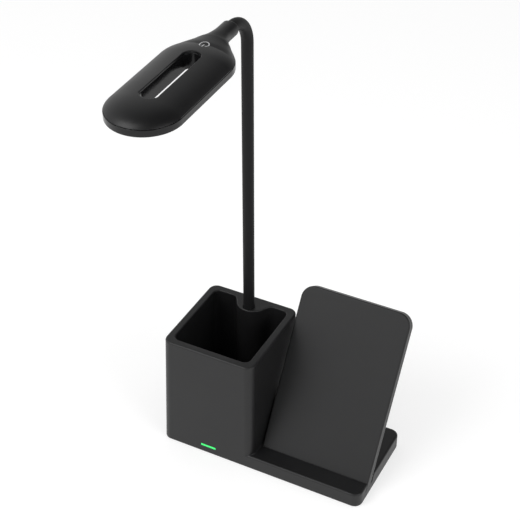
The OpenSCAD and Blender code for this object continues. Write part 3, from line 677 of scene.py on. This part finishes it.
def make_neck():
    """Soft sleeve in five straight lengths and the bend, one for each joint."""
    joints = ["neck_low_fore_aft", "neck_low_side", "neck_high_fore_aft", "neck_high_side",
              "neck_twist"]
    heights = [pivot(joint)[2] for joint in joints]
    cuts = [SLEEVE_FOOT] + [(a + b) / 2 for a, b in zip(heights, heights[1:])] + [BEND_Z]
    for i, height in enumerate(heights):
        stations = straight_stations(cuts[i], cuts[i + 1])
        piece = make_sleeve(f"sleeve_{i + 1}", stations)
        settle(piece, None, "sleeve", f"neck_sleeve_{i + 1}", f"neck_flex_{i + 1}")
    piece = make_sleeve("sleeve_6", bend_stations())
    settle(piece, None, "sleeve", "neck_sleeve_6", "neck_sleeve_7", "neck_flex_6")


# ---------- head ----------


def from_middle_line(x, y, rear=HEAD_REAR, tip=HEAD_TIP):
    """Distance, seen from above, from the middle line of the head or of its slot."""
    return np.hypot(x, y - np.clip(y, rear, tip))


def dome(x, y, z, wall=0.0):
    """Dome of the head, whose section is a parabola from the band up to the crown."""
    rho = from_middle_line(x, y)
    foot = HEAD_R - wall
    rise = HEAD_H - wall - BAND_H
    slope = math.tan(DOME_SLOPE)
    run = 2 * (foot - rise / slope)
    bow = foot - run
    root = np.sqrt(run**2 + 4 * bow * np.minimum(rho, foot))
    u = (root - run) / (2 * bow)
    steepness = 2 * rise * u / root
    above = z - BAND_H - rise * (1 - u * u) + slope * np.maximum(rho - foot, 0)
    return above / np.sqrt(1 + steepness**2)


def head_screw_places():
    """Axes of the four screws between frame and dome."""
    return [(x, y) for x in (-14, 14) for y in (HEAD_REAR, HEAD_TIP)]


def collar(x, y, z):
    """Socket of the head round the neck, widening toward the shoulders."""
    widen = 1 + FLARE * np.clip(y - FLARE_START, 0, FLARE_LEN) ** 2
    tube = np.hypot(x / widen, z - AXIS_UP) - COLLAR_R
    return meet(tube, y - HEAD_REAR + SWITCH_RHO, 4)


def crest(y):
    """Height that the shoulders stay under, so that they are level at the switch."""
    near = np.clip((y - COLLAR_LEN) / CREST_LEN, 0, 1)
    return AXIS_UP + COLLAR_R + 0.1 - CREST_DROP * near * near * (3 - 2 * near)


def head_outside(x, y, z):
    """Skin of the dome, its shoulders and its collar."""
    skin = meet(dome(x, y, z), BAND_H - z, 0.25)
    shoulders = melt(skin, collar(x, y, z), SHOULDER_REACH)
    outside = np.minimum(skin, meet(shoulders, z - crest(y), 3))
    underside = np.minimum(COLLAR_CUT_SLOPE * (y - COLLAR_CUT_Y) - 1.5, BAND_H - 1)
    outside = meet(outside, underside - z, 1)
    return meet(outside, COLLAR_START - y, 0.6)


def head_room(x, y, z):
    """Room under the dome, round the screw posts."""
    room = np.maximum(dome(x, y, z, HEAD_WALL), BAND_H - 1 - z)
    for px, py in head_screw_places():
        room = np.maximum(room, POST_R - np.hypot(x - px, y - py))
    return room


def head_shell(x, y, z):
    """Upper shell of the head, with the slot through it and the neck's bore."""
    shell = np.maximum(head_outside(x, y, z), -head_room(x, y, z))
    past_rim = from_middle_line(x, y) - HEAD_R - GAP
    shell = np.maximum(shell, -np.maximum(past_rim, z - BAND_H))
    slot = from_middle_line(x, y, SLOT_REAR, SLOT_TIP) - SLOT_R
    wall = np.maximum(slot - SLOT_WALL - GAP, z - SLOT_WALL_TOP - GAP)
    shell = np.maximum(shell, -wall)
    softer_at_tip = 0.3 + 0.9 * np.clip((y - SLOT_TIP) / 3, 0, 1)
    shell = meet(shell, -slot, softer_at_tip)
    bore = np.maximum(np.hypot(x, z - AXIS_UP) - NECK_R - GAP, y - COLLAR_LEN)
    return meet(shell, -bore, 0.4)


def make_head_shell():
    """Upper shell of the head."""
    fine = 0.5
    xs = grid_lines(-HEAD_R - 1, HEAD_R + 1, fine)
    ys = grid_lines(-1, HEAD_TIP + HEAD_R + 1, fine)
    zs = grid_lines(-1, AXIS_UP + COLLAR_R + 2, 0.4)
    piece = solid("head_dome", head_shell, (xs, ys, zs), head_axes(), MATERIALS["head_shell"])
    return settle(piece, "head", "head_shell", "head_top_shell")


def head_frame(x, y, z):
    """Band round the head, its web, and the wall of the slot."""
    rho = from_middle_line(x, y)
    slot_rho = from_middle_line(x, y, SLOT_REAR, SLOT_TIP)
    band = meet(rho - HEAD_R, z - BAND_H, 0.25)
    wall = np.maximum(slot_rho - SLOT_R - SLOT_WALL, z - SLOT_WALL_TOP)
    body = meet(np.minimum(band, wall), -z, 0.5)
    room = np.maximum(rho - HEAD_R + HEAD_WALL, SLOT_R + SLOT_WALL - slot_rho)
    body = meet(body, -np.maximum(room, z - WEB_Z), 0.15)
    slot = slot_rho - SLOT_R + (SLOT_R - SLOT_FOOT_R) * (1 - z / SLOT_WALL_TOP)
    body = meet(body, -slot, 0.2)
    for px, py in head_screw_places():
        body = np.maximum(body, HEAD_SCREW_BORE - np.hypot(x - px, y - py))
    return body


def make_head_frame():
    """Lower frame of the head."""
    fine = 0.5
    xs = grid_lines(-HEAD_R - 1, HEAD_R + 1, fine)
    ys = grid_lines(HEAD_REAR - HEAD_R - 1, HEAD_TIP + HEAD_R + 1, fine)
    zs = grid_lines(-1, SLOT_WALL_TOP + 1, 0.35)
    piece = solid("head_band", head_frame, (xs, ys, zs), head_axes(), MATERIALS["head_band"])
    return settle(piece, "head", "head_band", "head_lower_frame")


def dome_height(x, y):
    """Height of the head's outer skin over a place."""
    low, high = AXIS_UP, HEAD_H + 2
    for _ in range(30):
        middle = (low + high) / 2
        if head_shell(np.array(x), np.array(y), np.array(middle)) < 0:
            low = middle
        else:
            high = middle
    return high


def printed_stroke(line, width, end_steps=6):
    """Points and faces of a printed stroke with round ends that lies on the dome."""
    angles = [math.atan2(y1 - y0, x1 - x0) for (x0, y0), (x1, y1) in zip(line, line[1:])]
    angles.append(angles[-1])
    turns = [math.pi / 2 * i / end_steps for i in range(end_steps)]
    rows = [(line[0], angles[0], -math.cos(t), math.sin(t)) for t in turns]
    rows += [(place, angle, 0, 1) for place, angle in zip(line, angles)]
    rows += [(line[-1], angles[-1], math.cos(t), math.sin(t)) for t in reversed(turns)]
    points = []
    for (x, y), angle, ahead, share in rows:
        along = Vector((math.cos(angle), math.sin(angle))) * width / 2
        for side in (-share, share):
            px = x + ahead * along.x - side * along.y
            py = y + ahead * along.y + side * along.x
            points.append((px, py, dome_height(px, py) + INK_T))
    faces = [(2 * i, 2 * i + 2, 2 * i + 3, 2 * i + 1) for i in range(len(rows) - 1)]
    return points, faces


def make_symbol():
    """Power symbol printed over the touch switch, its bar toward the head's tip."""
    middle = HEAD_REAR - SWITCH_RHO
    gap, steps = math.radians(38), 40
    turns = [math.pi / 2 + gap + (2 * math.pi - 2 * gap) * i / steps for i in range(steps + 1)]
    ring = [(SYMBOL_R * math.cos(a), middle + SYMBOL_R * math.sin(a)) for a in turns]
    bar = [(0, middle + share * SYMBOL_R) for share in (0.1, 0.6, 1.1)]
    points, faces = [], []
    for line in (ring, bar):
        more, quads = printed_stroke(line, SYMBOL_STROKE)
        faces += [tuple(i + len(points) for i in quad) for quad in quads]
        points += more
    piece = mesh_piece("power_symbol", np.array(points), faces, MATERIALS["symbol"], head_axes())
    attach(piece, "head")


# ---------- screws that show ----------


def screw_field(across, up, radius, thick, shank_r, length, recess):
    """Screw with its head's face at up = 0; across is the distance from its axis."""
    head = meet(meet(across - radius, up, 0.2), -thick - up, 0.1)
    shank = np.maximum(np.maximum(across - shank_r, up), -length - up)
    return meet(np.minimum(head, shank), -np.maximum(recess, -0.5 - up), 0.08)


def cover_screws_field(x, y, z):
    """Cross-head screws of the stand's back cover."""
    (x0, y0), (x1, y1) = screw_places()[0], screw_places()[-1]
    u = np.abs(x - (x0 + x1) / 2) - (x1 - x0) / 2
    v = np.abs(y - (y0 + y1) / 2) - (y1 - y0) / 2
    cross = np.minimum(rounded_rect(u, v, 2.4, 0.6, 0.1), rounded_rect(u, v, 0.6, 2.4, 0.1))
    face = 0.2 - STAND_T
    return screw_field(np.hypot(u, v), face - z, COVER_SCREW_R, 0.8, 0.98, 5.4, cross)


def make_cover_screws():
    """The four screws in one piece, on a grid that is fine round each of them."""
    places = screw_places()
    fine, room = 0.16, COVER_SCREW_R + 0.5
    lines = []
    for first, last in zip(places[0], places[-1]):
        zones = [(first - room, first + room, fine), (last - room, last + room, fine)]
        lines.append(grid_lines(first - room, last + room, 4, zones))
    outside = -STAND_T - 0.4
    lines.append(grid_lines(outside, 6 - STAND_T, 0.5, [(outside, 1.6 - STAND_T, fine)]))
    piece = solid("cross_screws", cover_screws_field, lines, stand_axes(), MATERIALS["steel"])
    settle(piece, "base", "steel", "stand_cover_screws")


# ---------- CAD pieces that stay ----------


def dress_cad():
    """Gives every CAD piece the material of its slot in the record."""
    slots = {part["node"]: part["material_slot"] for part in frame["record"]["subparts"]}
    for name, node in frame["nodes"].items():
        node.data.materials.clear()
        node.data.materials.append(MATERIALS[slots[name]])


# ---------- camera, floor and light ----------


def make_camera():
    """Camera at the photograph's place, fitted to the base's edges in it."""
    data = bpy.data.cameras.new("camera")
    data.sensor_width = 36
    data.lens = 92.31
    camera = bpy.data.objects.new("camera", data)
    camera.location = (0.31563, -0.64924, 0.70683)
    camera.rotation_euler = Euler((math.radians(53.29), 0, math.radians(27.27)))
    bpy.context.scene.collection.objects.link(camera)
    bpy.context.scene.camera = camera


def seen_ray(tree):
    """1 for a ray from the camera, a reflection or through glass, else 0."""
    path = tree.nodes.new("ShaderNodeLightPath")
    first = tree.nodes.new("ShaderNodeMath")
    first.operation = "MAXIMUM"
    second = tree.nodes.new("ShaderNodeMath")
    second.operation = "MAXIMUM"
    tree.links.new(path.outputs["Is Camera Ray"], first.inputs[0])
    tree.links.new(path.outputs["Is Glossy Ray"], first.inputs[1])
    tree.links.new(first.outputs[0], second.inputs[0])
    tree.links.new(path.outputs["Is Transmission Ray"], second.inputs[1])
    return second.outputs[0]


def make_world():
    """White room whose ceiling, mostly on the right, is dim in reflections."""
    world = bpy.data.worlds.new("studio")
    world.use_nodes = True
    tree = world.node_tree
    background = tree.nodes["Background"]
    background.inputs["Color"].default_value = (1, 1, 1, 1)
    path = tree.nodes.new("ShaderNodeLightPath")
    place = tree.nodes.new("ShaderNodeTexCoord")
    height = tree.nodes.new("ShaderNodeVectorMath")
    height.operation = "DOT_PRODUCT"
    height.inputs[1].default_value = (0.45, 0.2, 0.87)
    tree.links.new(place.outputs["Generated"], height.inputs[0])
    ceiling = tree.nodes.new("ShaderNodeMapRange")
    for socket, value in (("From Min", 0.1), ("From Max", 0.85), ("To Min", 1.0), ("To Max", 0.1)):
        ceiling.inputs[socket].default_value = value
    tree.links.new(height.outputs["Value"], ceiling.inputs["Value"])
    glossy = tree.nodes.new("ShaderNodeMix")
    glossy.inputs[2].default_value = 0.6
    tree.links.new(path.outputs["Is Glossy Ray"], glossy.inputs[0])
    tree.links.new(ceiling.outputs["Result"], glossy.inputs[3])
    seen = tree.nodes.new("ShaderNodeMix")
    seen.inputs[3].default_value = 1.0
    direct = tree.nodes.new("ShaderNodeMath")
    direct.operation = "MAXIMUM"
    tree.links.new(path.outputs["Is Camera Ray"], direct.inputs[0])
    tree.links.new(path.outputs["Is Transmission Ray"], direct.inputs[1])
    tree.links.new(direct.outputs[0], seen.inputs[0])
    tree.links.new(glossy.outputs[0], seen.inputs[2])
    tree.links.new(seen.outputs[0], background.inputs["Strength"])
    bpy.context.scene.world = world


def make_floor():
    """Pale floor whose own light makes it white to the camera and keeps a soft shadow."""
    half = 3
    points = np.array([(-half, -half, 0), (half, -half, 0), (half, half, 0), (-half, half, 0)]) / MM
    material, tree, shader = new_material("floor_paper", (0.5, 0.5, 0.5), 0.9)
    shader.inputs["Specular IOR Level"].default_value = 0
    shader.inputs["Emission Color"].default_value = (1, 1, 1, 1)
    own = tree.nodes.new("ShaderNodeMath")
    own.operation = "MULTIPLY"
    own.inputs[1].default_value = 0.58
    tree.links.new(seen_ray(tree), own.inputs[0])
    tree.links.new(own.outputs[0], shader.inputs["Emission Strength"])
    floor = mesh_piece("floor", points, [(0, 1, 2, 3)], material)


def make_light(name, place, target, size, power):
    """Square soft light that looks at a target."""
    data = bpy.data.lights.new(name, "AREA")
    data.shape = "SQUARE"
    data.size = size
    data.energy = power
    light = bpy.data.objects.new(name, data)
    light.location = place
    direction = Vector(target) - Vector(place)
    light.rotation_euler = direction.to_track_quat("-Z", "Y").to_euler()
    bpy.context.scene.collection.objects.link(light)


def make_lights():
    """A key light from the front left and a weaker one from the right."""
    target = (0, 0, 0.12)
    make_light("key", (-0.6, -0.9, 1.3), target, 0.9, 10)
    make_light("fill", (1.2, -0.4, 0.9), target, 0.8, 6)


make_camera()
make_world()
make_floor()
make_lights()
dress_cad()
make_housing()
make_pad()
make_stand()
make_neck()
make_head_shell()
make_head_frame()
make_symbol()
make_cover_screws()

bpy.context.scene.view_settings.view_transform = "Standard"
